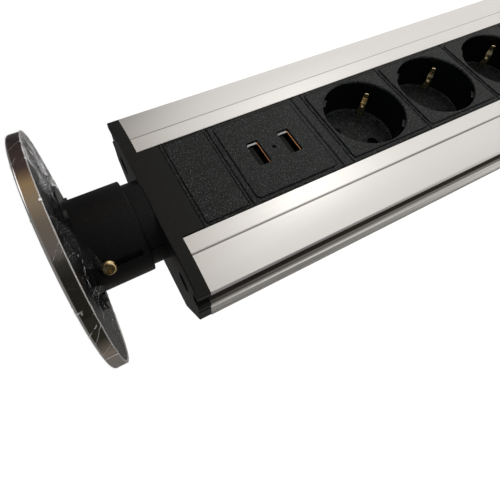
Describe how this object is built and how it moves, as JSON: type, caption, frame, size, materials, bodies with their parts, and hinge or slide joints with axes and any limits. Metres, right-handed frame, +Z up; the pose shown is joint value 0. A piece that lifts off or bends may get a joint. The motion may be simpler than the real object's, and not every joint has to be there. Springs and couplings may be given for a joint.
{
  "type": "worktop power tower",
  "caption": "Upright aluminium power column with recessed earthed sockets, USB charging ports and a telescoping round steel cap.",
  "frame": {"origin": "on the axis of the round neck, at the bottom face that the column stands on", "axes": "+Z up the column to the cap, -Y out of the socket faces, +X to the right seen from the front"},
  "size_m": [0.0987, 0.0986, 0.3173],
  "materials": {
    "anodised_aluminium": "satin anodised",
    "black_end_cap": "fine textured",
    "black_module": "spark textured, wells glossy",
    "dark_screw": "black zinc",
    "clear_plastic": "clear light pipe",
    "port_steel": "bright plated",
    "black_insulator": "moulded",
    "grey_insulator": "moulded",
    "brass_contact": "bright",
    "brass_screw": "satin",
    "circuit_board": "solder mask",
    "plated_screw": "zinc plated",
    "wire_insulation": "soft insulation",
    "satin_black": "satin",
    "spring_steel": "drawn wire",
    "polished_steel": "mirror polished",
    "clear_film": "thin clear film, wrinkled",
    "black_rubber": "soft"
  },
  "bodies": {
    "column": {"blank_plate": "black_module", "bottom_cap_screws": "dark_screw", "bottom_end_cap": "black_end_cap", "cable_bushing": "black_rubber", "cord_clamp": "black_insulator", "cord_clamp_screws": "plated_screw", "earth_busbar": "brass_contact", "earth_clip_1": "brass_contact", "earth_clip_2": "brass_contact", "earth_clip_3": "brass_contact", "extrusion": "anodised_aluminium", "filler_strip": "black_module", "guide_screws": "brass_screw", "latch_housing": "black_insulator", "lift_spring": "spring_steel", "live_busbar": "brass_contact", "lower_blank_plate": "black_module", "neck_foot_screws": "plated_screw", "neck_inner_tube": "satin_black", "neutral_busbar": "brass_contact", "socket_face_1": "black_module", "socket_face_2": "black_module", "socket_face_3": "black_module", "socket_rear_housing_1": "black_insulator", "socket_rear_housing_2": "black_insulator", "socket_rear_housing_3": "black_insulator", "socket_screws_1": "plated_screw", "socket_screws_2": "plated_screw", "socket_screws_3": "plated_screw", "terminal_block": "grey_insulator", "terminal_screws": "plated_screw", "top_cap_screws": "dark_screw", "top_end_cap": "black_end_cap", "usb_board": "circuit_board", "usb_board_screws": "plated_screw", "usb_contacts": "brass_contact", "usb_faceplate": "black_module", "usb_light_pipe": "clear_plastic", "usb_port_shells": "port_steel", "usb_power_supply": "black_insulator", "usb_supply_wires": "wire_insulation", "usb_tongues": "black_insulator"},
    "cap": {"neck_sleeve": "satin_black", "cap_disc": "polished_steel", "cap_backing": "satin_black", "cap_screws": "plated_screw", "latch_pin": "plated_screw", "protective_film": "clear_film"},
    "shutter_1": {"socket_shutter_1": "black_insulator"},
    "shutter_2": {"socket_shutter_2": "black_insulator"},
    "shutter_3": {"socket_shutter_3": "black_insulator"}
  },
  "joints": [
    {"name": "cap_lift", "type": "slide", "parent": "column", "child": "cap", "axis": [0, 0, 1], "range_m": [0, 0.012], "deforming": ["lift_spring"]},
    {"name": "shutter_1_turn", "type": "hinge", "parent": "column", "child": "shutter_1", "pos_m": [0, 0.0038, 0.17233], "axis": [0, -1, 0], "range_deg": [0, 36], "stiffness_Nm_per_rad": 0.004, "springref_deg": -20.05},
    {"name": "shutter_2_turn", "type": "hinge", "parent": "column", "child": "shutter_2", "pos_m": [0, 0.0038, 0.12748], "axis": [0, -1, 0], "range_deg": [0, 36], "stiffness_Nm_per_rad": 0.004, "springref_deg": -20.05},
    {"name": "shutter_3_turn", "type": "hinge", "parent": "column", "child": "shutter_3", "pos_m": [0, 0.0038, 0.08263], "axis": [0, -1, 0], "range_deg": [0, 36], "stiffness_Nm_per_rad": 0.004, "springref_deg": -20.05}
  ]
}
